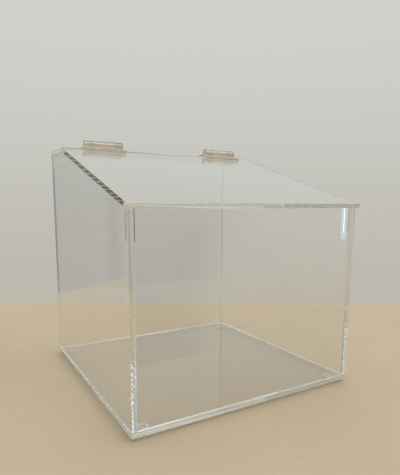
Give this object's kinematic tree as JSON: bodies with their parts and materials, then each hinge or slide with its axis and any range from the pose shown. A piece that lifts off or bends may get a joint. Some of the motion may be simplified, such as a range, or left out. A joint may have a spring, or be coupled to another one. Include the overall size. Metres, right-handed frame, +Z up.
{
  "type": "acrylic display case",
  "caption": "Clear acrylic box for display, with a flat fixed strip along the back of its top and a sloping lid hinged to that strip, on small clear bumper feet.",
  "frame": {"origin": "middle of the bounding box on the surface that the feet stand on", "axes": "+Z up; the low front wall faces -Y; +X to the right as seen from the front"},
  "size_m": [0.3096, 0.3039, 0.3191],
  "materials": {
    "acrylic_sheet": "water-clear cast acrylic sheet, polished faces, saw-cut and polished edges that look pale grey",
    "acrylic_bar": "short clear acrylic bar, saw-cut ends",
    "hinge_plastic": "moulded clear plastic, slightly warm",
    "hinge_pin_plastic": "clear plastic rod",
    "bumper_polyurethane": "clear soft polyurethane, slightly satin"
  },
  "bodies": {
    "case": {"base_panel": "acrylic_sheet", "front_panel": "acrylic_sheet", "left_panel": "acrylic_sheet", "right_panel": "acrylic_sheet", "back_panel": "acrylic_sheet", "top_ledge": "acrylic_sheet", "left_corner_bar": "acrylic_bar", "right_corner_bar": "acrylic_bar", "left_hinge_ledge_leaf": "hinge_plastic", "left_hinge_pin": "hinge_pin_plastic", "right_hinge_ledge_leaf": "hinge_plastic", "right_hinge_pin": "hinge_pin_plastic", "foot_front_left": "bumper_polyurethane", "foot_front_right": "bumper_polyurethane", "foot_back_left": "bumper_polyurethane", "foot_back_right": "bumper_polyurethane"},
    "lid": {"lid_panel": "acrylic_sheet", "left_hinge_lid_leaf": "hinge_plastic", "right_hinge_lid_leaf": "hinge_plastic"}
  },
  "joints": [
    {"name": "lid_hinge", "type": "hinge", "parent": "case", "child": "lid", "pos_m": [0, 0.08306, 0.3143], "axis": [-1, 0, 0], "range_deg": [0, 207]}
  ]
}
